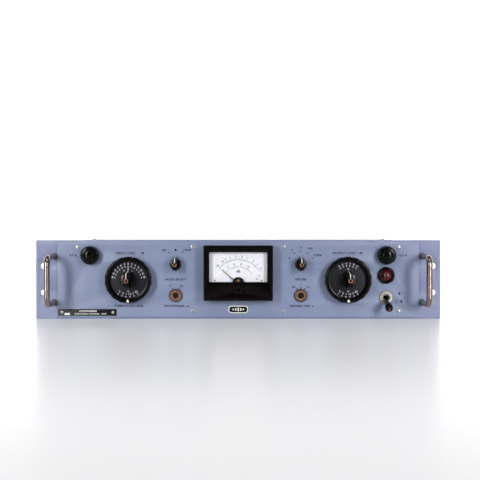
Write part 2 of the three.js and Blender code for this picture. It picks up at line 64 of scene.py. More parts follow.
HANDS = ("left", "right")


# ---- Places and sizes taken from the frame ----

def point(x, forward, z):
    return Vector((x * MM, FACE_Y - forward * MM, z * MM))


def place_of(node):
    """The middle of a node, seen from the front."""
    low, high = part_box(node)
    return (low.x + high.x) / 2 / MM, (low.z + high.z) / 2 / MM


def reach_of(node):
    """How far forward a node's back and front are."""
    low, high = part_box(node)
    return (FACE_Y - high.y) / MM, (FACE_Y - low.y) / MM


def extent_of(node):
    """A node's x0, x1, z0, z1."""
    low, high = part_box(node)
    return low.x / MM, high.x / MM, low.z / MM, high.z / MM


def radius_of(node):
    """Half a node's width."""
    low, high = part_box(node)
    return (high.x - low.x) / 2 / MM


# ---- Outlines ----

def rounded(points, steps=5):
    """An outline in which each point given as (a, b, cut) becomes a round corner of that size."""
    result = []
    for i, corner in enumerate(points):
        here = Vector(corner[:2])
        if len(corner) == 2:
            result.append(here)
            continue
        before = Vector(points[i - 1][:2])
        after = Vector(points[(i + 1) % len(points)][:2])
        start = here + (before - here).normalized() * corner[2]
        end = here + (after - here).normalized() * corner[2]
        for step in range(steps + 1):
            t = step / steps
            result.append(start * (1 - t) ** 2 + here * (2 * t * (1 - t)) + end * t * t)
    return result


def circle(place, radius, sides=48):
    turns = (2 * math.pi * i / sides for i in range(sides))
    return [Vector((place[0] + radius * math.cos(t), place[1] + radius * math.sin(t)))
            for t in turns]


def rectangle(x0, x1, z0, z1, corner=0.0):
    corners = [(x0, z0), (x1, z0), (x1, z1), (x0, z1)]
    return rounded([(*c, corner) for c in corners] if corner else corners)


# ---- Pieces ----

def linked(name, data):
    """A new object in the scene."""
    obj = bpy.data.objects.new(name, data)
    bpy.context.scene.collection.objects.link(obj)
    return obj


def evaluated_mesh(obj):
    graph = bpy.context.evaluated_depsgraph_get()
    return bpy.data.meshes.new_from_object(obj.evaluated_get(graph))


def joined(name, meshes):
    """One mesh made of several, which are used up."""
    bm = bmesh.new()
    for mesh in meshes:
        bm.from_mesh(mesh)
        bpy.data.meshes.remove(mesh)
    result = bpy.data.meshes.new(name)
    bm.to_mesh(result)
    bm.free()
    return result


def slab_faces(count):
    """The faces of a slab whose vertices are its back outline and then its front one."""
    faces = [list(range(count)), list(range(count, 2 * count))]
    return faces + [[i, (i + 1) % count, count + (i + 1) % count, count + i]
                    for i in range(count)]


def clean(mesh, sharp_degrees=35):
    """Joined vertices, faces outward, and smooth shading except over sharp edges."""
    if mesh.has_custom_normals:
        mesh.attributes.remove(mesh.attributes["custom_normal"])
    bm = bmesh.new()
    bm.from_mesh(mesh)
    bmesh.ops.remove_doubles(bm, verts=bm.verts, dist=1e-6)
    bmesh.ops.dissolve_degenerate(bm, dist=1e-7, edges=bm.edges)
    bmesh.ops.recalc_face_normals(bm, faces=bm.faces)
    for face in bm.faces:
        face.smooth = True
    for edge in bm.edges:
        edge.smooth = edge.is_manifold and edge.calc_face_angle(0) < math.radians(sharp_degrees)
    bm.to_mesh(mesh)
    bm.free()


def new_piece(name, mesh, sharp_degrees=35):
    piece = linked(name, mesh)
    clean(mesh, sharp_degrees)
    return piece


def from_faces(name, vertices, faces, sharp_degrees=35):
    mesh = bpy.data.meshes.new(name)
    mesh.from_pydata(vertices, [], faces)
    return new_piece(name, mesh, sharp_degrees)


def frozen(piece):
    """The piece with its modifiers applied."""
    mesh = evaluated_mesh(piece)
    piece.modifiers.clear()
    piece.data = mesh
    return piece


def baked(piece):
    """The piece with its modifiers applied, cleaned."""
    clean(frozen(piece).data)
    return piece


def bevelled(piece, width, segments=3, angle=30):
    modifier = piece.modifiers.new("bevel", "BEVEL")
    modifier.width = width * MM
    modifier.segments = segments
    modifier.limit_method = "ANGLE"
    modifier.angle_limit = math.radians(angle)
    return flat_faced(baked(piece))


def flat_faced(piece):
    """The piece with its large faces shaded flat right up to their rounded edges."""
    modifier = piece.modifiers.new("normals", "WEIGHTED_NORMAL")
    modifier.weight = 100
    modifier.keep_sharp = True
    return frozen(piece)


def combined(name, *pieces):
    """One piece out of several, which need not touch."""
    meshes = [piece.data for piece in pieces]
    for piece in pieces:
        bpy.data.objects.remove(piece)
    return new_piece(name, joined(name, meshes))


def united(piece, other, operation="UNION"):
    """The piece joined with the other one, or cut by it."""
    modifier = piece.modifiers.new("union", "BOOLEAN")
    modifier.operation = operation
    modifier.object = other
    modifier.solver = "EXACT"
    baked(piece)
    bpy.data.objects.remove(other)
    return piece


def turned(name, profile, place, sides=64, wave=None):
    """A solid of revolution about a control's axis, from (radius, forward[, corner]) points that
    close on themselves or start and end on the axis. wave(angle, radius, forward) is added to the
    radius."""
    vertices, rows = [], []
    for radius, forward in rounded(profile):
        if radius < 1e-6:
            rows.append([len(vertices)] * sides)
            vertices.append(point(place[0], forward, place[1]))
            continue
        rows.append(list(range(len(vertices), len(vertices) + sides)))
        for i in range(sides):
            angle = 2 * math.pi * i / sides
            r = radius + (wave(angle, radius, forward) if wave else 0)
            vertices.append(point(place[0] + r * math.sin(angle), forward,
                                  place[1] + r * math.cos(angle)))
    on_axis = profile[0][0] < 1e-6
    faces = []
    for lower, upper in zip(rows, rows[1:] if on_axis else rows[1:] + rows[:1]):
        for i in range(sides):
            j = (i + 1) % sides
            face = list(dict.fromkeys([lower[i], lower[j], upper[j], upper[i]]))
            if len(face) > 2:
                faces.append(face)
    return from_faces(name, vertices, faces)


def prism(name, outline, back, front):
    """An upright slab: its outline is (x, z) points, between two forward distances."""
    vertices = [point(x, forward, z) for forward in (back, front) for x, z in outline]
    return from_faces(name, vertices, slab_faces(len(outline)))


def slotted(piece, outline, back, front):
    """The piece with a prism of that outline cut out of it."""
    return united(piece, prism("slot", outline, back, front), "DIFFERENCE")


def plate(name, outlines, back, front, edge=0.3):
    """A sheet with holes and rounded edges: the first outline is its rim, the others are holes."""
    curve = bpy.data.curves.new(name, "CURVE")
    curve.dimensions = "2D"
    curve.fill_mode = "BOTH"
    curve.extrude = ((front - back) / 2 - edge) * MM
    curve.bevel_depth = edge * MM
    curve.bevel_resolution = 2
    curve.offset = -edge * MM
    for outline in outlines:
        spline = curve.splines.new("POLY")
        spline.points.add(len(outline) - 1)
        for target, (x, z) in zip(spline.points, outline):
            target.co = (x * MM, z * MM, 0, 1)
        spline.use_cyclic_u = True
    source = linked(name, curve)
    mesh = evaluated_mesh(source)
    bpy.data.objects.remove(source)
    mesh.transform(Matrix.Rotation(math.pi / 2, 4, "X"))
    mesh.transform(Matrix.Translation((0, FACE_Y - (front + back) / 2 * MM, 0)))
    return new_piece(name, mesh)


# ---- Printed and engraved marks ----

CAP_HEIGHT = 0.7  # of the built-in font's size
INK = 0.03
INK_LIFT = 0.01  # of marks over their surface
STROKE_STEP = 0.003  # between the shifted copies that make strokes bold


def words(text, x, z, height, turn=0.0, wide=1.0, bold=0.05):
    """A mark made of letters, centred on its height; shifted copies make its strokes bold."""
    curve = bpy.data.curves.new("words", "FONT")
    curve.body = text
    curve.size = height / CAP_HEIGHT * MM
    curve.align_x = curve.align_y = "CENTER"
    curve.resolution_u = 3
    curve.extrude = INK / 2 * MM
    source = linked("words", curve)
    letters = evaluated_mesh(source)
    bpy.data.objects.remove(source)
    letters.transform(Matrix.Diagonal((wide, 1, 1, 1)))
    shift = bold * 0.7 * MM
    copies = []
    for step, (across, up) in enumerate(((-1, -1), (1, -1), (1, 1), (-1, 1))):
        copies.append(letters.copy())
        copies[-1].transform(Matrix.Translation((across * shift, up * shift,
                                                 step * STROKE_STEP * MM)))
    mesh = joined("words", copies)
    mesh.transform(Matrix.Rotation(-turn, 4, "Z"))
    mesh.transform(Matrix.Rotation(math.pi / 2, 4, "X"))
    mesh.transform(Matrix.Translation((x * MM, 0, z * MM)))
    return mesh


def patch(outline):
    """A mark with that outline."""
    half = INK / 2 * MM
    vertices = [(x * MM, y, z * MM) for y in (half, -half) for x, z in outline]
    mesh = bpy.data.meshes.new("patch")
    mesh.from_pydata(vertices, [], slab_faces(len(outline)))
    return mesh


def dot(x, z, radius):
    return patch(circle((x, z), radius, 16))


def polar(place, radius, degrees):
    """A point at that angle, clockwise from up."""
    turn = math.radians(degrees)
    return place[0] + radius * math.sin(turn), place[1] + radius * math.cos(turn)


def heading(degrees):
    return Vector(polar((0, 0), 1, degrees))


def tick(place, inner, outer, degrees, width):
    across = heading(degrees + 90) * (width / 2)
    start = Vector(polar(place, inner, degrees))
    end = Vector(polar(place, outer, degrees))
    return patch([start - across, start + across, end + across, end - across])


def arc(place, radius, start, end, width, steps=40):
    turns = [start + (end - start) * i / steps for i in range(steps + 1)]
    outer = [Vector(polar(place, radius + width / 2, t)) for t in turns]
    inner = [Vector(polar(place, radius - width / 2, t)) for t in reversed(turns)]
    return patch(outer + inner)


def marks(name, meshes, forward, body, material):
    """One piece made of flat marks that lie on the surface at that forward distance."""
    mesh = joined(name, meshes)
    mesh.transform(Matrix.Translation(point(0, forward + INK / 2 + INK_LIFT, 0)))
    return attach(new_piece(name, mesh), body, material)


# ---- Joining pieces to the frame ----

def attach(piece, body, material):
    piece.data.materials.clear()
    piece.data.materials.append(material)
    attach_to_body(piece, body)
    return piece


def stand_in(piece, node, material):
    """The piece takes a CAD node's place and its body, and gets the material passed in."""
    attach(piece, BODY_OF[node], material)
    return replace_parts(piece, node)


def lathed(node, suffix, profile, place, sides, material, wave=None):
    """A turned piece that takes a CAD node's place."""
    return stand_in(turned(f"{node}_{suffix}", profile, place, sides, wave), node, material)


def refined(node, material, edge=0.3, segments=2):
    """The CAD node's own shape with its edges rounded."""
    mesh = frame["nodes"][node].data.copy()
    bm = bmesh.new()
    bm.from_mesh(mesh)
    bmesh.ops.remove_doubles(bm, verts=bm.verts, dist=1e-6)
    bmesh.ops.dissolve_limit(bm, angle_limit=math.radians(1), verts=bm.verts, edges=bm.edges)
    bm.to_mesh(mesh)
    bm.free()
    piece = new_piece(f"{node}_fine", mesh)
    return stand_in(bevelled(piece, edge, segments), node, material)


# ---- Materials ----

def linear(colour):
    return [c / 12.92 if c <= 0.04045 else ((c + 0.055) / 1.055) ** 2.4 for c in colour] + [1.0]


class Shader:
    """A principled material and short ways to feed it from noise over the object's surface."""

    def __init__(self, name, colour, roughness, metallic=0.0, **sockets):
        self.material = bpy.data.materials.new(name)
        self.material.use_nodes = True
        self.nodes = self.material.node_tree.nodes
        self.links = self.material.node_tree.links
        self.surface = self.nodes["Principled BSDF"]
        self.base = linear(colour)
        self.roughness = roughness
        values = {"Base Color": self.base, "Roughness": roughness, "Metallic": metallic}
        for socket, value in {**values, **sockets}.items():
            self.surface.inputs[socket.replace("_", " ")].default_value = value
        self.coordinates = self.nodes.new("ShaderNodeTexCoord").outputs["Object"]

    def feed(self, socket, value):
        if isinstance(value, bpy.types.NodeSocket):
            self.links.new(value, socket)
        else:
            socket.default_value = value

    def node(self, kind, inputs, **settings):
        node = self.nodes.new(kind)
        for setting, value in settings.items():
            setattr(node, setting, value)
        for socket, value in inputs.items():
            self.feed(node.inputs[socket], value)
        return node

    def noise(self, scale, detail=3.0, stretch=(1, 1, 1), seed=0.0):
        mapped = self.node("ShaderNodeMapping", {"Vector": self.coordinates, "Scale": stretch,
                                                 "Location": (seed, seed, seed)})
        return self.node("ShaderNodeTexNoise", {"Vector": mapped.outputs[0], "Scale": scale,
                                                "Detail": detail}).outputs[0]

    def ramp(self, value, low, high, to_low=0.0, to_high=1.0):
        return self.node("ShaderNodeMapRange", {
            "Value": value, "From Min": low, "From Max": high,
            "To Min": to_low, "To Max": to_high}).outputs[0]

    def spots(self, scale, seed, low, high, detail=2.0):
        return self.ramp(self.noise(scale, detail, seed=seed), low, high)

    def maths(self, operation, first, second=0.0):
        return self.node("ShaderNodeMath", {0: first, 1: second}, operation=operation).outputs[0]

    def mixed(self, share, first, second):
        node = self.node("ShaderNodeMix", {"Factor": share, 6: first, 7: second},
                         data_type="RGBA")
        return node.outputs[2]

    def tone(self, share):
        return [c * share for c in self.base[:3]] + [1.0]

    def mottle(self, scale, amount):
        """Base colour a little darker and lighter in patches."""
        value = self.ramp(self.noise(scale), 0.3, 0.7)
        colour = self.mixed(value, self.tone(1 - amount), self.tone(1 + amount))
        self.links.new(colour, self.surface.inputs["Base Color"])
        return colour

    def vary_roughness(self, scale, amount, stretch=(1, 1, 1)):
        value = self.ramp(self.noise(scale, 5.0, stretch, 3.0), 0.3, 0.7,
                          max(0.02, self.roughness - amount), self.roughness + amount)
        self.links.new(value, self.surface.inputs["Roughness"])

    def bump(self, scale, strength, distance, stretch=(1, 1, 1)):
        height = self.noise(scale, 3.0, stretch, 7.0)
        normal = self.node("ShaderNodeBump", {"Height": height, "Strength": strength,
                                              "Distance": distance}).outputs[0]
        self.links.new(normal, self.surface.inputs["Normal"])

    def finished(self, patches, rubbing, relief, stretch=(1, 1, 1)):
        """The material, given the arguments of mottle, vary_roughness and bump."""
        self.mottle(*patches)
        self.vary_roughness(*rubbing, stretch)
        self.bump(*relief, stretch)
        return self.material

    def glow(self, strength):
        self.surface.inputs["Emission Color"].default_value = (1, 1, 1, 1)
        self.surface.inputs["Emission Strength"].default_value = strength


def enamel(name, colour, roughness, half_width, height):
    """Sprayed enamel with a fine orange peel, handling marks, and chips that gather at the rim."""
    shader = Shader(name, colour, roughness, Specular_IOR_Level=0.4)
    patches = shader.mottle(14, 0.05)
    axes = shader.node("ShaderNodeSeparateXYZ", {0: shader.coordinates}).outputs
    from_side = shader.maths("SUBTRACT", half_width * MM, shader.maths("ABSOLUTE", axes[0]))
    from_middle = shader.maths("ABSOLUTE", shader.maths("SUBTRACT", axes[2], height / 2 * MM))
    from_edge = shader.maths("SUBTRACT", height / 2 * MM, from_middle)
    rim = shader.ramp(shader.maths("MINIMUM", from_side, from_edge), 0.0, 1.3 * MM, 1.0, 0.0)
    specks = shader.spots(900, 2.0, 0.71, 0.74)
    clusters = shader.spots(30, 9.0, 0.6, 0.7)
    worn = shader.spots(260, 5.0, 0.62, 0.66, 4.0)
    chips = shader.maths("MAXIMUM", shader.maths("MULTIPLY", rim, worn),
                         shader.maths("MULTIPLY", specks, clusters))
    colour = shader.mixed(chips, patches, linear((0.36, 0.35, 0.37)))
    shader.links.new(colour, shader.surface.inputs["Base Color"])
    shader.vary_roughness(60, 0.07)
    shader.bump(1400, 0.12, 0.00006)
    return shader.material


def satin(name, colour, roughness):
    """Thin satin enamel on sheet metal, with a few rubbed spots and specks of bare metal."""
    shader = Shader(name, colour, roughness, Specular_IOR_Level=0.4)
    patches = shader.mottle(9, 0.07)
    bare = shader.maths("MULTIPLY", shader.spots(700, 2.0, 0.72, 0.74),
                        shader.spots(18, 9.0, 0.58, 0.7))
    colour = shader.mixed(bare, patches, linear((0.42, 0.41, 0.42)))
    shader.links.new(colour, shader.surface.inputs["Base Color"])
    shader.vary_roughness(25, 0.09)
    shader.bump(1200, 0.16, 0.00006)
    return shader.material


def metal(name, colour, roughness, stretch=(1, 1, 1), mottle=0.08):
    """Plated or bare metal with fine scratches, drawn out along one way if stretch says so."""
    shader = Shader(name, colour, roughness, 1.0)
    return shader.finished((90, mottle), (700, 0.05), (1800, 0.05, 0.00002), stretch)


def moulding(name, colour, roughness, mottle=0.12, **sockets):
    """Pressed phenolic: glossy, faintly wavy, with rubbed patches."""
    shader = Shader(name, colour, roughness, **sockets)
    return shader.finished((220, mottle), (150, 0.06), (500, 0.05, 0.00005))


def coating(name, colour, roughness, grain=3000):
    """A matt surface with a fine grain, such as card, ink or an engraved plate."""
    shader = Shader(name, colour, roughness, Specular_IOR_Level=0.2)
    return shader.finished((300, 0.05), (400, 0.05), (grain, 0.15, 0.00003))


def glass(name, colour, alpha):
    shader = Shader(name, colour, 0.03, Alpha=alpha, Specular_IOR_Level=0.6)
    return shader.finished((60, 0.02), (120, 0.01), (40, 0.02, 0.00005))


PANEL_X0, PANEL_X1, _, PANEL_TOP = extent_of("rack_plate")
FACE_X0, FACE_X1, FACE_LOW, FACE_HIGH = extent_of("front_plate")

RACK_PAINT = enamel("rack_enamel", (0.445, 0.472, 0.595), 0.42, PANEL_X1, PANEL_TOP)
FACE_PAINT = enamel("face_enamel", (0.437, 0.478, 0.584), 0.40, FACE_X1, PANEL_TOP)
COVER_PAINT = satin("cover_enamel", (0.42, 0.44, 0.52), 0.5)
NICKEL = metal("worn_nickel", (0.56, 0.50, 0.48), 0.19)
BRASS = metal("aged_brass", (0.46, 0.35, 0.26), 0.36, mottle=0.25)
GOLD = metal("gilt_screw", (0.80, 0.58, 0.25), 0.3, mottle=0.1)
NUT_BRASS = metal("nickel_on_brass", (0.86, 0.78, 0.66), 0.30, mottle=0.12)
COPPERY = metal("collet_brass", (0.62, 0.44, 0.39), 0.34, mottle=0.15)
DARK_STEEL = metal("dark_spindle", (0.22, 0.18, 0.16), 0.35, mottle=0.2)
STEEL = metal("plated_steel", (0.66, 0.66, 0.67), 0.34)
CORE = metal("core_laminations", (0.33, 0.31, 0.30), 0.55, (1, 40, 1), 0.2)
CAN = metal("drawn_can", (0.78, 0.79, 0.80), 0.36, (1, 1, 0.05))
BLACK = moulding("black_phenolic", (0.012, 0.010, 0.012), 0.13, Specular_IOR_Level=0.13)
KNOB_BLACK = moulding("knob_phenolic", (0.012, 0.010, 0.011), 0.18, Specular_IOR_Level=0.12)
METER_BLACK = moulding("meter_black", (0.014, 0.007, 0.007), 0.14, mottle=0.05,
                       Specular_IOR_Level=0.12)
BROWN = moulding("brown_phenolic", (0.43, 0.30, 0.23), 0.30, mottle=0.25)
DARK_BROWN = moulding("dark_brown_phenolic", (0.20, 0.12, 0.09), 0.22, mottle=0.3)
DIAL = coating("engraved_plate", (0.085, 0.082, 0.11), 0.42)
WHITE = coating("white_paint", (0.90, 0.90, 0.88), 0.55)
DIAL_WHITE = coating("engraved_white", (0.76, 0.76, 0.79), 0.5)
CARD = coating("meter_card", (0.93, 0.93, 0.955), 0.6)
INK_DARK = coating("dark_ink", (0.02, 0.02, 0.05), 0.55)
INK_RED = coating("red_ink", (0.75, 0.16, 0.16), 0.55)
LABEL = coating("black_label", (0.045, 0.043, 0.05), 0.38, 1500)
LAMINATE = coating("board_laminate", (0.50, 0.37, 0.20), 0.55, 900)
CLEAR = glass("clear_glass", (0.30, 0.32, 0.35), 0.07)
# Painted shade: a near-black matt colour that stands in for the shadow inside a small hole.
HOLE_SHADE = coating("painted_hole_shade", (0.03, 0.03, 0.035), 0.8)


def red_jewel():
    shader = Shader("red_jewel", (0.26, 0.0, 0.015), 0.06, Specular_IOR_Level=0.6)
    return shader.finished((300, 0.4), (300, 0.02), (200, 0.03, 0.00005))


RED = red_jewel()


# ---- Panel ----

RACK_HOLE = {"x": 232.55, "rise": 15.875, "radius": 3.5}
METER_HOLE = 25.6  # radius
HOLES = {"input_dial_plate": 8.3, "output_dial_plate": 8.3, "mode_knob": 3.3,
         "meter_select_knob": 3.3, "emphasis_bush": 5.3, "release_bush": 5.3,
         "fuse_holder_left": 7.8, "fuse_holder_right": 7.8, "lamp_bezel": 7.3,
         "toggle_nut": 6.1}


def panel():
    holes = [circle(place_of(node), radius, 32) for node, radius in HOLES.items()]
    holes.append(circle(place_of("meter_front"), METER_HOLE, 64))
    rack_holes = [circle((side * RACK_HOLE["x"], PANEL_TOP / 2 + up * RACK_HOLE["rise"]),
                         RACK_HOLE["radius"], 40) for side in SIDES for up in SIDES]
    rim = rectangle(PANEL_X0, PANEL_X1, 0, PANEL_TOP, 1.2)
    stand_in(plate("rack_sheet", [rim, *rack_holes, *holes], *reach_of("rack_plate"), 0.35),
             "rack_plate", RACK_PAINT)
    face = rectangle(FACE_X0, FACE_X1, FACE_LOW, FACE_HIGH, 1.0)
    stand_in(plate("face_sheet", [face, *holes], *reach_of("front_plate"), 0.45),
             "front_plate", FACE_PAINT)


# ---- Screws ----

DICE = random.Random(7)


def slotted_screw(name, place, radius, forward, material=None, proud=0.5):
    """A countersunk head in its cup, with a slot that was left at any angle."""
    head = turned(name, [(0, forward - 0.4), (radius, forward - 0.4),
                         (radius, forward + proud * 0.55, 0.25), (radius * 0.72, forward + proud),
                         (0, forward + proud)], place, 32)
    angle = DICE.uniform(0, 180)
    across = heading(angle + 90) * (radius * 0.13)
    along = heading(angle) * (radius * 1.1)
    middle = Vector(place)
    slotted(head, [middle - along - across, middle + along - across,
                   middle + along + across, middle - along + across],
            forward + proud - 0.5, forward + proud + 1)
    attach(head, "chassis", material or STEEL)


def panel_screws():
    rows = {"upper": 85.5, "lower": 9.0}
    columns = {"far_left": -191, "near_left": -54, "near_right": 54, "far_right": 191}
    for row, z in rows.items():
        for column, x in columns.items():
            if (row, column) != ("lower", "far_left"):
                slotted_screw(f"face_screw_{row}_{column}", (x, z), 2.3, 0.0)


# ---- Handles ----

def handle(side):
    node = f"handle_{side}"
    x, _ = place_of(node)
    back, front = reach_of(node)
    _, _, low, high = extent_of(node)
    bar = radius_of(node)
    bend = 11.0
    grip = front - bar
    line = rounded([(back, low + bar), (grip, low + bar, bend), (grip, high - bar, bend),
                    (back, high - bar)], 10)
    sides = 28
    vertices, faces = [], []
    for i, here in enumerate(line):
        along = (line[min(i + 1, len(line) - 1)] - line[max(i - 1, 0)]).normalized()
        across = Vector((along.y, -along.x))
        for k in range(sides):
            turn = 2 * math.pi * k / sides
            offset = across * (bar * math.cos(turn))
            vertices.append(point(x + bar * math.sin(turn), here.x + offset.x, here.y + offset.y))
    for i in range(len(line) - 1):
        for k in range(sides):
            a, b = i * sides + k, i * sides + (k + 1) % sides
            faces.append([a, b, b + sides, a + sides])
    faces += [list(range(sides)), list(range(len(vertices) - sides, len(vertices)))]
    stand_in(from_faces(f"{node}_bar", vertices, faces, 60), node, NICKEL)
    for height in ("lower", "upper"):
        ferrule(f"ferrule_{side}_{height}")


def ferrule(node):
    back, front = reach_of(node)
    radius = radius_of(node)
    profile = [(0, back), (radius, back), (radius, back + 1.1, 0.35),
               (radius * 0.84, back + 1.3, 0.2), (radius * 0.84, back + 1.8, 0.2),
               (radius * 0.93, back + 2.1, 0.3), (radius * 0.86, front, 0.4), (0, front)]
    lathed(node, "collar", profile, place_of(node), 40, BRASS)


# ---- Pointer knobs ----

def pointer_knob(node, place, base, wing, collet):
    """base is (radius, height); wing has its width, height and how far its tip and tail reach;
    collet is the radius of the clamping screw's ring."""
    back, front = reach_of(node)
    seat = front - wing["height"]
    radius, height = base
    body = turned(f"{node}_skirt", [
        (0, seat), (radius, seat, 0.4), (radius * 0.97, seat + height, 0.9),
        (radius * 0.6, seat + height * 1.15, 0.6), (0, seat + height * 1.15)], place, 56)
    side = rounded([(-wing["tail_foot"], seat + 0.3), (wing["tip_foot"], seat + 0.3),
                    (wing["tip_foot"], seat + height * 0.8, 0.5),
                    (wing["tip_top"], front - 0.1, 2.2), (-wing["tail_top"], front - 0.1, 3.0),
                    (-wing["tail_foot"], seat + height * 0.8, 0.5)], 6)
    half = wing["width"] / 2
    vertices = [point(place[0] + s * half * (1 - 0.16 * (up - seat) / wing["height"]), up,
                      place[1] + along) for s in SIDES for along, up in side]
    blade = bevelled(from_faces("blade", vertices, slab_faces(len(side))), 0.55, 3, 50)
    united(body, blade)
    stem = turned("stem", [(0, back), (wing["shaft"], back), (wing["shaft"], seat + 1),
                           (0, seat + 1)], place, 24)
    united(body, stem)
    stand_in(body, node, KNOB_BLACK)

    top = front - 0.1
    ring = turned(f"{node}_collet", [
        (collet * 0.55, top - 0.5), (collet, top - 0.5), (collet, top + 0.05, 0.15),
        (collet * 0.55, top + 0.05, 0.15)], place, 36)
    screw = turned("collet_screw", [(0, top - 0.6), (collet * 0.5, top - 0.6),
                                    (collet * 0.5, top - 0.2, 0.1), (0, top - 0.2)], place, 24)
    slotted(screw, rectangle(place[0] - 0.25, place[0] + 0.25, place[1] - collet,
                             place[1] + collet), top - 0.45, top + 1)
    attach(combined(f"{node}_clamp", ring, screw), BODY_OF[node], COPPERY)

    path = rounded([(collet + 0.25, top + 0.02), (wing["tip_top"] - 0.02, top + 0.02, 2.2),
                    (wing["tip_foot"] + 0.02, seat + height * 0.8)], 6)
    half = wing["line"] / 2
    vertices = [point(place[0] + s * half, up + lift, place[1] + along + 0.35 * lift)
                for along, up in path for lift in (-0.12, 0.03) for s in SIDES]
    last = len(vertices) - 4
    faces = [[0, 1, 3, 2], [last, last + 1, last + 3, last + 2]]
    for i in range(len(path) - 1):
        a = 4 * i
        for p, q in ((0, 1), (1, 3), (3, 2), (2, 0)):
            faces.append([a + p, a + q, a + 4 + q, a + 4 + p])
    attach(from_faces(f"{node}_line", vertices, faces), BODY_OF[node], WHITE)


DIAL_WING = {"width": 7, "height": 21, "tip_top": 8.2, "tip_foot": 10.3, "tail_top": 7,
             "tail_foot": 9.4, "shaft": 3.2, "line": 0.8}
SMALL_WING = {"width": 5.4, "height": 18, "tip_top": 7.4, "tip_foot": 8.9, "tail_top": 6.4,
              "tail_foot": 7.9, "shaft": 2.9, "line": 0.9}


# ---- Concentric dials ----

LOBES = 18
TOP_NUMERALS = {"input": (["18", "15", "12", "9", "6", "3", "0", "3", "6", "9", "12", "15", "18"],
                          -80, 80, 19.0, 15.8),
                "output": (["0", "2", "4", "6", "8", "10"], -34, 33, 19.3, 16.5)}
LOW_NUMERALS = (["0", ".5", "1", "1.5", "2", "2.5"], 216, 146, 17.0, 20.2)


def fan(labels, first, last, label_radius, dot_radius, place):
    """Numerals with dots, evenly spaced between two angles."""
    result = []
    for i, label in enumerate(labels):
        degrees = first + (last - first) * i / (len(labels) - 1)
        result.append(words(label, *polar(place, label_radius, degrees), 2.1, wide=0.85,
                            bold=0.09))
        result.append(dot(*polar(place, dot_radius, degrees), 0.62))
    return result


def dial_ring(node):
    place = place_of(node)
    back, front = reach_of(node)
    radius = radius_of(node)
    bore, neck, neck_bore = 21.9, 8.0, 6.3
    rim_back = 0.7

    def scallop(angle, r, forward):
        if r < bore + 1.5 or forward < rim_back - 0.1:
            return 0.0
        share = min(1.0, (r - bore - 1.5) / 2.5)
        return -0.5 * share * (0.5 - 0.5 * math.cos(LOBES * angle)) ** 1.6

    profile = [(neck_bore, back), (neck, back), (neck, rim_back), (radius - 0.4, rim_back, 0.5),
               (radius, rim_back + 1.5), (radius, front - 1.6), (radius - 0.35, front - 0.75),
               (radius - 1.0, front - 0.2), (radius - 1.9, front), (bore + 1.2, front),
               (bore + 0.35, front - 0.3), (bore, front - 1.1), (bore, 3.2, 0.4),
               (neck_bore, 3.2)]
    lathed(node, "rim", profile, place, LOBES * 12, BLACK, scallop)
    x, z = polar(place, (radius + bore) / 2 - 0.3, 180)
    pointer = patch([Vector((x - 1.9, z - 1.7)), Vector((x + 1.9, z - 1.7)), Vector((x, z + 1.9))])
    marks(f"{node}_pointer", [pointer], front, node, WHITE)


def dial_plate(name, node):
    place = place_of(node)
    back, front = reach_of(node)
    radius = radius_of(node)
    profile = [(3.6, back), (6.0, back), (6.0, front - 1.2), (radius, front - 1.2),
               (radius, front, 0.3), (3.6, front)]
    lathed(node, "disc", profile, place, 96, DIAL)
    printed = fan(*TOP_NUMERALS[name], place) + fan(*LOW_NUMERALS, place)
    printed.append(dot(*polar(place, 13.6, 180), 0.7))
    if name == "input":
        printed.append(words("+", *polar(place, 11.8, -24), 2.6))
        printed.append(words("-", *polar(place, 11.8, 24), 2.6))
        printed.append(tick(place, 10.8, 14.2, 0, 0.8))
    else:
        printed.append(dot(*polar(place, 12.8, 0), 0.8))
    marks(f"{name}_dial_numerals", printed, front, "chassis", DIAL_WHITE)


def dials():
    for name in ("input", "output"):
        dial_ring(f"{name}_dial_ring")
        dial_plate(name, f"{name}_dial_plate")
        pointer_knob(f"{name}_dial_knob", place_of(f"{name}_dial_plate"), (9.5, 5.0), DIAL_WING,
                     2.6)


# ---- Small selectors and screwdriver switches ----

def selectors():
    for name in ("mode", "meter_select"):
        pointer_knob(f"{name}_knob", place_of(f"{name}_switch"), (7.0, 4.2), SMALL_WING, 2.4)


def trimmers():
    for name in ("emphasis", "release"):
        place = place_of(f"{name}_bush")
        back, front = reach_of(f"{name}_bush")
        lathed(f"{name}_bush", "moulding", [
            (3.3, back), (5.0, back), (5.0, 0.3), (7.85, 0.3), (7.85, 1.2, 0.3),
            (7.3, front - 0.4, 0.5), (6.7, front - 0.15, 0.3), (6.5, front - 0.3),
            (3.5, front - 0.3), (3.3, front - 1.0)],
            place, 64, DARK_BROWN)
        face = turned(f"{name}_bush_face", [
            (3.6, front - 0.6), (6.5, front - 0.6), (6.3, front - 0.02, 0.25),
            (4.1, front - 0.02, 0.3), (3.6, front - 0.3)], place, 64)
        attach(face, "chassis", BROWN)
        back, front = reach_of(f"{name}_spindle")
        spindle = turned(f"{name}_spindle_rod", [(0, back), (2.9, back), (2.9, front, 0.3),
                                                 (0, front)], place, 40)
        slotted(spindle, rectangle(place[0] - 0.45, place[0] + 0.45, place[1] - 4,
                                   place[1] + 4), front - 1.4, front + 1)
        stand_in(spindle, f"{name}_spindle", DARK_STEEL)


# ---- Fuses ----

FLUTES = 24
GLASS_CAP = 5.5  # length of a fuse's metal caps


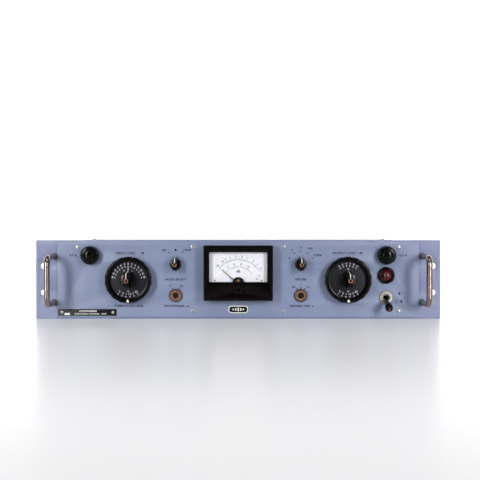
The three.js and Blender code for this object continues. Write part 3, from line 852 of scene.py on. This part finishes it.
def fuses():
    for side in HANDS:
        node = f"fuse_cap_{side}"
        place = place_of(node)
        back, front = reach_of(node)
        radius = radius_of(node)
        seat = 2.1

        def flute(angle, r, forward):
            if forward < seat + 1.2 or r < radius * 0.9:
                return 0.0
            share = min(1.0, (r / radius - 0.9) / 0.05)
            return -0.5 * share * (0.5 - 0.5 * math.cos(FLUTES * angle)) ** 2

        profile = [(0, -0.4), (2.8, -0.4), (2.8, back), (4.8, back), (4.8, seat),
                   (radius - 0.3, seat, 0.3), (radius, seat + 1.2), (radius * 0.99, seat + 3.6),
                   (radius * 0.96, seat + 6.0), (radius * 0.90, front - 2.6),
                   (radius * 0.82, front - 1.9), (radius * 0.72, front - 1.8),
                   (radius * 0.66, front - 2.2), (radius * 0.62, front - 2.1),
                   (radius * 0.55, front - 1.1), (radius * 0.42, front - 0.4),
                   (radius * 0.25, front - 0.06), (0, front)]
        lathed(node, "dome", profile, place, FLUTES * 8, BLACK, flute)
        holder = f"fuse_holder_{side}"
        back, front = reach_of(holder)
        lathed(holder, "body", [
            (0, back), (7.5, back, 0.5), (7.5, 0.3), (9.0, 0.3), (9.0, front, 0.4), (5.2, front),
            (5.2, back + 2), (0, back + 2)], place, 48, BLACK)
        tube = f"fuse_{side}"
        back, front = reach_of(tube)
        cap = GLASS_CAP
        lathed(tube, "tube", [
            (0, back), (2.5, back, 0.4), (2.5, back + cap), (2.3, back + cap), (2.3, front - cap),
            (2.5, front - cap), (2.5, front, 0.4), (0, front)], place, 32, NICKEL)


# ---- Lamp and toggle ----

def lamp():
    place = place_of("lamp_bezel")
    back, front = reach_of("lamp_bezel")
    lathed("lamp_bezel", "ring", [
        (5.9, back), (7.0, back), (7.0, 0.3), (10, 0.3), (10, front - 1.6, 0.4),
        (8.9, front, 0.9), (7.3, front, 0.5), (6.8, front - 0.9, 0.3), (6.8, 0.3), (5.9, 0.3)],
        place, 72, BLACK)
    back, front = reach_of("lamp_lens")
    facets = 12
    rim, dome_height = 6.3, 4.4
    curve = (rim ** 2 + dome_height ** 2) / (2 * dome_height)
    widest = math.asin(rim / curve)
    dome = [(curve * math.sin(widest * i / 9), front - curve * (1 - math.cos(widest * i / 9)))
            for i in range(9, -1, -1)]

    def facet(angle, r, forward):
        if forward < front - dome_height or r < 1:
            return 0.0
        return -0.1 * (0.5 - 0.5 * math.cos(facets * angle))

    stand_in(turned("lamp_jewel", [
        (0, front - 2.5), (4.2, front - 4.0), (4.2, back), (5.5, back), (5.5, 0.7), (6.5, 0.7),
        (6.5, front - dome_height - 0.1, 0.1), *dome], place, facets * 8, facet),
        "lamp_lens", RED)


TEETH = 36  # of the nut's knurl
LEVER = {"length": 29.5, "tilt": math.radians(24), "pivot": -1.3}


def toggle():
    place = place_of("toggle_nut")
    back, front = reach_of("toggle_nut")

    def knurl(angle, r, forward):
        if r < 7.4 or not back + 0.3 < forward < front - 0.3:
            return 0.0
        return -0.18 * (0.5 - 0.5 * math.cos(TEETH * angle))

    lathed("toggle_nut", "ring", [
        (6.1, back), (7.1, back), (7.5, back + 0.4), (7.5, front - 0.4), (7.1, front),
        (6.1, front)], place, TEETH * 6, NUT_BRASS, knurl)

    pivot = point(place[0], LEVER["pivot"], place[1])
    length = LEVER["length"]
    turn = Matrix.Translation(pivot) @ Matrix.Rotation(LEVER["tilt"], 4, "X")

    def along_lever(name, profile):
        piece = turned(name, profile, (0, 0), 40)
        piece.data.transform(Matrix.Translation((0, -FACE_Y, 0)))
        piece.data.transform(turn)
        clean(piece.data)
        return piece

    sleeve = along_lever("toggle_lever_bat", [
        (0, -2.8), (1.9, -2.0), (2.8, 0), (1.9, 2.0), (1.5, 2.8), (1.5, 8.1), (2.7, 8.5, 0.3),
        (4.6, length - 5.0, 1.2), (4.35, length - 1.9, 0.9), (2.8, length - 0.2, 0.8),
        (0, length - 0.2)])
    stand_in(sleeve, "toggle_lever", BLACK)
    tip = along_lever("toggle_lever_tip", [
        (0, length - 1.2), (1.2, length - 1.2), (1.2, length - 0.05, 0.15), (0, length - 0.05)])
    attach(tip, "toggle_lever", COPPERY)


# ---- Meter ----

PIVOT_Z = 42.0
NEEDLE_REST = -48  # degrees from upright


def meter():
    x0, x1, z0, z1 = extent_of("meter_front")
    back, front = reach_of("meter_front")
    window = rectangle(-34, 34, 45, 80, 0.8)
    screw_place = place_of("meter_zero_adjust")
    stand_in(plate("meter_mask", [rectangle(x0, x1, z0, z1, 1.6), window,
                                  circle(screw_place, 3.3, 40)], back, front, 0.55),
             "meter_front", METER_BLACK)
    refined("meter_case", METER_BLACK, 0.6, 3)
    refined("meter_glass", CLEAR, 0.2, 1)
    refined("meter_scale", CARD, 0.1, 1)

    card = reach_of("meter_scale")[1]
    meter_print(card)

    back, front = reach_of("meter_pivot_cover")
    cover_place = (0, 43.5)
    dome = turned("meter_pivot_dome", [
        (0, back), (7.2, back), (7.2, front - 0.2, 0.06), (6.9, front, 0.06), (0, front)],
        cover_place, 64)
    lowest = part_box("meter_pivot_cover")[0].z / MM
    slotted(dome, rectangle(-9, 9, lowest - 12, lowest), back - 1, front + 1)
    stand_in(dome, "meter_pivot_cover", METER_BLACK)
    for side, x in zip(HANDS, (-27.5, 27.5)):
        slotted_screw(f"meter_scale_screw_{side}", (x, 46.4), 1.0, card, material=BRASS)
    gold = turned("meter_pivot_screw", [(0, front - 0.1), (1.7, front - 0.1),
                                        (1.7, front + 0.2, 0.08), (0, front + 0.2)],
                  (0, 46.2), 28)
    attach(gold, "chassis", GOLD)

    back, front = reach_of("meter_zero_adjust")
    screw = turned("meter_zero_screw", [(0, back), (3, back), (3, front - 0.2, 0.4), (0, front)],
                   screw_place, 40)
    slotted(screw, rectangle(-0.5, 0.5, screw_place[1] - 4, screw_place[1] + 4),
            front - 1.3, front + 1)
    stand_in(screw, "meter_zero_adjust", METER_BLACK)
    needle()


def meter_print(card):
    """The scale's arcs, ticks and numerals, on the card's surface."""
    pivot = place_of("meter_pivot_cover")[0], PIVOT_Z
    outer, inner = 29.0, 20.5
    black = [arc(pivot, outer, NEEDLE_REST, 55, 0.34), arc(pivot, inner, NEEDLE_REST, 30, 0.3)]

    def mark(label, radius, degrees, length, width, lift, height, bold):
        black.append(tick(pivot, radius, radius + length, degrees, width))
        if label:
            black.append(words(label, *polar(pivot, radius + lift, degrees), height,
                               turn=math.radians(degrees), bold=bold))

    for degrees, label in {-48: "20", -41: "", -35: "10", -27: "7", -17: "5", -5: "3", 8: "2",
                           20: "1", 33: "0", 44: "1", 55: "2"}.items():
        mark(label, outer, degrees, 1.7, 0.42, 3.6, 2.1, 0.08)
    for degrees in (-31, -22, -11, 1.5, 14, 26, 38, 49):
        black.append(tick(pivot, outer, outer + 1.1, degrees, 0.3))
    for degrees, label in {-48: "0", -30: "4", -12: "8", 8: "12", 30: "16"}.items():
        mark(label, inner, degrees, 1.4, 0.38, 3.2, 2.0, 0.07)
    black += [words("dB", 0, 57.0, 3.0, bold=0.12), words("V", 25, 51.5, 2.2, bold=0.1),
              words("+", *polar(pivot, outer + 2.6, 60), 2.4, bold=0.08),
              words("dB", 22, 48.2, 1.5)]
    marks("meter_print_black", black, card, "chassis", INK_DARK)
    marks("meter_print_red", [arc(pivot, inner, 30, 52, 0.5)], card, "chassis",
          INK_RED)


def needle():
    pivot = Vector((0, PIVOT_Z))
    back, front = reach_of("meter_needle")
    middle = front - 0.8
    along = heading(NEEDLE_REST)
    across = heading(NEEDLE_REST + 90)
    outline = [pivot + along * reach + across * half for reach, half in (
        (-4.9, -0.4), (-4.9, 0.4), (20, 0.36), (21, 0.16), (31, 0.14), (31, -0.14),
        (21, -0.16), (20, -0.36))]
    blade = prism("meter_needle_blade", outline, middle - 0.15, middle + 0.15)
    hub = turned("hub", [(0, back), (2, back), (2, front, 0.3), (0, front)], pivot, 24)
    united(blade, hub)
    stand_in(blade, "meter_needle", INK_DARK)


# ---- Nameplate, badge and lettering ----

def name_plate():
    x0, x1, z0, z1 = extent_of("name_plate")
    back, front = reach_of("name_plate")
    middle = (z0 + z1) / 2
    stand_in(plate("name_plate_sheet", [rectangle(x0, x1, z0, z1, 0.5)], back, front, 0.12),
             "name_plate", LABEL)
    centre = (x0 + x1) / 2
    text = [words("COMPRESSOR", centre + 1, middle + 1.5, 1.9, wide=1.25),
            patch(rectangle(centre - 27, centre - 20.5, middle - 3.0, middle - 0.6)),
            words("AUDIO LEVEL CONTROL   UNIT", centre + 4, middle - 1.7, 1.5, wide=1.25)]
    marks("name_plate_lettering", text, front, "chassis", WHITE)
    for side, x in (("left", x0 + 5), ("right", x1 - 4)):
        slotted_screw(f"name_plate_screw_{side}", (x, middle), 1.8, front, proud=0.4)


def badge():
    x0, x1, z0, z1 = extent_of("badge")
    back, front = reach_of("badge")
    end = (z1 - z0) / 2
    middle = (z0 + z1) / 2
    inset = 0.9
    stand_in(plate("badge_base", [rectangle(x0, x1, z0, z1, end * 0.95)], back, front - 0.3, 0.3),
             "badge", WHITE)
    field = rectangle(x0 + inset, x1 - inset, z0 + inset, z1 - inset, (end - inset) * 0.95)
    attach(plate("badge_field", [field], front - 0.9, front - 0.12, 0.15), "chassis",
           LABEL)
    bars = [patch(rectangle(x - 0.7, x + 0.7, middle - height / 2, middle + height / 2))
            for x, height in zip((-6, -3, 0, 3, 6), (1.6, 2.9, 4.2, 2.9, 1.6))]
    marks("badge_bars", bars, front - 0.12, "chassis", WHITE)


def panel_lettering():
    text = []

    def legend_at(legend, x, z, height, wide=1.0):
        text.append(words(legend, x, z, height, wide=wide, bold=0.12))

    for name, label in (("input", "INPUT LEVEL"), ("output", "OUTPUT LEVEL")):
        x, z = place_of(f"{name}_dial_plate")
        legend_at(label, x - 4, z + 31.3, 2.5, 1.15)
        legend_at("dB", x + 16, z + 31.3, 2.5)
    x, z = place_of("input_dial_plate")
    legend_at("THRESHOLD LEVEL", x, z - 31.6, 2.5, 1.15)
    for name, label, width in (("mode", "MODE SELECT", 1.15), ("meter_select", "METER", 1.3)):
        x, z = place_of(f"{name}_switch")
        legend_at(label, x, z - 18.1, 2.4, width)
    place = place_of("mode_switch")
    for side, legend in ((-1, "LIM"), (1, "COMP")):
        text.append(dot(place[0] + side * 7.9, place[1] + 14.2, 0.8))
        legend_at(legend, place[0] + side * 13.6, place[1] + 16.8, 2.4)
    place = place_of("meter_select_switch")
    for degrees, legend in ((-62, "1"), (-31, "2"), (0, "3"), (31, "LIM"), (62, "COMP")):
        text.append(dot(*polar(place, 15.6, degrees), 0.8))
        legend_at(legend, *polar(place, 19.2 + 0.9 * len(legend), degrees), 2.3)
    for name, label, stops in (
            ("emphasis", "PRE-EMPHASIS  us", ((-25, "0"), (25, "50"))),
            ("release", "RELEASE TIME  s", ((-32, "0.5"), (0, "1"), (32, "1.5")))):
        place = place_of(f"{name}_bush")
        for degrees, legend in stops:
            text.append(dot(*polar(place, 9.2, degrees), 0.75))
            legend_at(legend, *polar(place, 13.1, degrees * 1.25), 2.3)
        legend_at(label, place[0] + 1, place[1] - 12.8, 2.5, 1.1)
    x, z = place_of("toggle_nut")
    text += [dot(x + 16, z + 4.5, 1.35), dot(x + 18.4, z - 4.8, 1.35)]
    text += [arc((x + 12.9, z - 4.8), 1.75, start, start + 90, 0.55, 12)
             for start in (0, 90, 180, 270)]
    for side, shift in (("left", -20.4), ("right", 20.4)):
        x, z = place_of(f"fuse_cap_{side}")
        legend_at("0.2 A", x + shift, z - 0.3, 2.4, 1.2)
    marks("panel_lettering", text, 0, "chassis", INK_DARK)
    # A near-black disc just proud of the panel above the mode switch is painted shade, standing in
    # for a small hole.
    x, z = place_of("mode_switch")
    spot = turned("mode_hole_shade", [(0, 0.02), (1.3, 0.02), (1.3, 0.25, 0.1), (0, 0.3)],
                  (x, z + 17.2), 24)
    attach(spot, "chassis", HOLE_SHADE)


# ---- Chassis ----

SOCKETS = ("mains_inlet", "signal_connector")
SCREW_RADIUS = 2.6
EDGE_INSET, SIDE_INSET, REAR_INSET = 6 * MM, 22 * MM, 9 * MM
SOCKET_LIP, SOCKET_INSET = 2.5 * MM, 4.5 * MM
ROW_SHARES = (0.08, 0.36, 0.64, 0.92)  # of the covers' depth


def case_screw(name, place, direction):
    """A pan-head screw with a slot, standing on a face of the case."""
    radius = SCREW_RADIUS
    head = turned(name, [(0, -0.8), (radius, -0.8), (radius, 0.5, 0.3), (radius * 0.6, 1.05, 0.4),
                         (0, 1.1)], (0, 0), 28)
    slotted(head, rectangle(-0.35, 0.35, -radius - 1, radius + 1), 0.6, 2)
    turn = Vector((0, -1, 0)).rotation_difference(Vector(direction)).to_matrix().to_4x4()
    spin = Matrix.Rotation(DICE.uniform(0, math.pi), 4, Vector(direction))
    head.data.transform(Matrix.Translation((0, -FACE_Y, 0)))
    head.data.transform(Matrix.Translation(Vector(place)) @ spin @ turn)
    clean(head.data)
    attach(head, "chassis", STEEL)


def case_screws():
    """Rows of screws that hold the covers to the side channels, and the rear panel in place."""
    _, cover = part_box("top_cover")
    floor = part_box("bottom_cover")[0].z
    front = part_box("top_cover")[0].y
    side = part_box("side_plate_right")[1].x
    rows = [front + (CHASSIS_REAR - front) * share for share in ROW_SHARES]
    for hand, sign in zip(HANDS, SIDES):
        across = sign * (side - EDGE_INSET)
        for i, y in enumerate(rows):
            case_screw(f"top_screw_{hand}_{i}", (across, y, cover.z), (0, 0, 1))
        for i, y in enumerate((rows[0], rows[3])):
            for row, z in (("lower", floor + SIDE_INSET), ("upper", cover.z - SIDE_INSET)):
                case_screw(f"side_screw_{hand}_{row}_{i}", (sign * side, y, z), (sign, 0, 0))
        for row, z in (("lower", floor + REAR_INSET), ("upper", cover.z - REAR_INSET)):
            case_screw(f"rear_screw_{hand}_{row}", (across, CHASSIS_REAR, z), (0, 1, 0))
    for node in SOCKETS:
        low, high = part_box(node)
        for hand, x in zip(HANDS, (low.x + SOCKET_INSET, high.x - SOCKET_INSET)):
            case_screw(f"{node}_screw_{hand}",
                       (x, CHASSIS_REAR + SOCKET_LIP, (low.z + high.z) / 2), (0, 1, 0))


def rear_label():
    """Lettering beside the sockets, read from behind."""
    text = [words("MAINS", 0, 0, 3.2), words("SIGNAL", 0, 0, 3.2)]
    for mesh, node in zip(text, SOCKETS):
        low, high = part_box(node)
        mesh.transform(Matrix.Rotation(math.pi, 4, "Z"))
        mesh.transform(Matrix.Translation(((low.x + high.x) / 2, CHASSIS_REAR + INK * MM,
                                           high.z + 7 * MM)))
    lettering = new_piece("rear_lettering", joined("rear_lettering", text))
    attach(lettering, "chassis", INK_DARK)


def chassis():
    for node in ("side_plate_left", "side_plate_right", "rear_panel", "top_cover",
                 "bottom_cover"):
        refined(node, COVER_PAINT, 0.35)
    refined("mains_inlet", BLACK, 0.3)
    refined("signal_connector", STEEL, 0.3)


INSIDE = (
    (CORE, ("mains_transformer",)),
    (CAN, ("input_transformer", "output_transformer", "smoothing_capacitor")),
    (LAMINATE, ("amplifier_board", "control_board")),
    (CLEAR, ("lamp_bulb",)),
    (STEEL, ("toggle_body", "input_dial_switch", "output_dial_switch", "mode_switch",
             "meter_select_switch", "emphasis_switch", "release_switch")))


def inside():
    for material, nodes in INSIDE:
        for node in nodes:
            mesh = frame["nodes"][node].data
            mesh.materials.clear()
            mesh.materials.append(material)


# ---- Camera, floor and light ----

def look_at(obj, target):
    obj.rotation_euler = (Vector(target) - obj.location).to_track_quat("-Z", "Y").to_euler()


def camera():
    data = bpy.data.cameras.new("camera")
    data.sensor_width = 36
    distance = 1.03
    span = 0.571
    data.lens = data.sensor_width * distance / span
    obj = linked("camera", data)
    obj.location = (0.001, FACE_Y - distance, 0.114)
    look_at(obj, (0.0021, FACE_Y, PANEL_TOP * MM))
    bpy.context.scene.camera = obj


def stage_plane(name, corners, material):
    mesh = bpy.data.meshes.new(name)
    mesh.from_pydata(corners, [], [[0, 1, 2, 3]])
    mesh.materials.append(material)
    linked(name, mesh)


def studio():
    floor = Shader("floor_white", (0.93, 0.93, 0.94), 0.27, Specular_IOR_Level=0.5)
    floor.glow(0.10)
    size, behind = 4.0, 1.6
    stage_plane("floor", [(-size, -size, 0), (size, -size, 0), (size, size, 0), (-size, size, 0)],
                floor.material)
    backdrop = Shader("backdrop_white", (1.0, 1.0, 1.0), 0.9)
    backdrop.glow(1.5)
    stage_plane("backdrop", [(-size, behind, 0), (size, behind, 0), (size, behind, 2.5),
                             (-size, behind, 2.5)], backdrop.material)
    world = bpy.data.worlds.new("studio")
    bpy.context.scene.world = world
    world.use_nodes = True
    colour, strength = world.node_tree.nodes["Background"].inputs[:2]
    colour.default_value = (1, 1, 1, 1)
    strength.default_value = 0.18
    for name, place, power, width, height, aim, spread in (
            ("left", (-0.78, -1.25, 0.36), 1.15, 0.28, 0.8, -0.20, 40),
            ("right", (0.78, -1.25, 0.36), 1.1, 0.28, 0.8, 0.20, 40),
            ("above", (0, -0.9, 1.5), 5, 1.4, 0.6, 0, 180)):
        data = bpy.data.lights.new(name, "AREA")
        data.shape = "RECTANGLE"
        data.size, data.size_y = width, height
        data.energy = power
        data.spread = math.radians(spread)
        light = linked(name, data)
        light.location = place
        look_at(light, (aim, FACE_Y, 0.05))
    bpy.context.scene.view_settings.view_transform = "Standard"


camera()
panel()
panel_screws()
for hand in HANDS:
    handle(hand)
dials()
selectors()
trimmers()
fuses()
lamp()
toggle()
meter()
name_plate()
badge()
panel_lettering()
chassis()
case_screws()
rear_label()
inside()
studio()
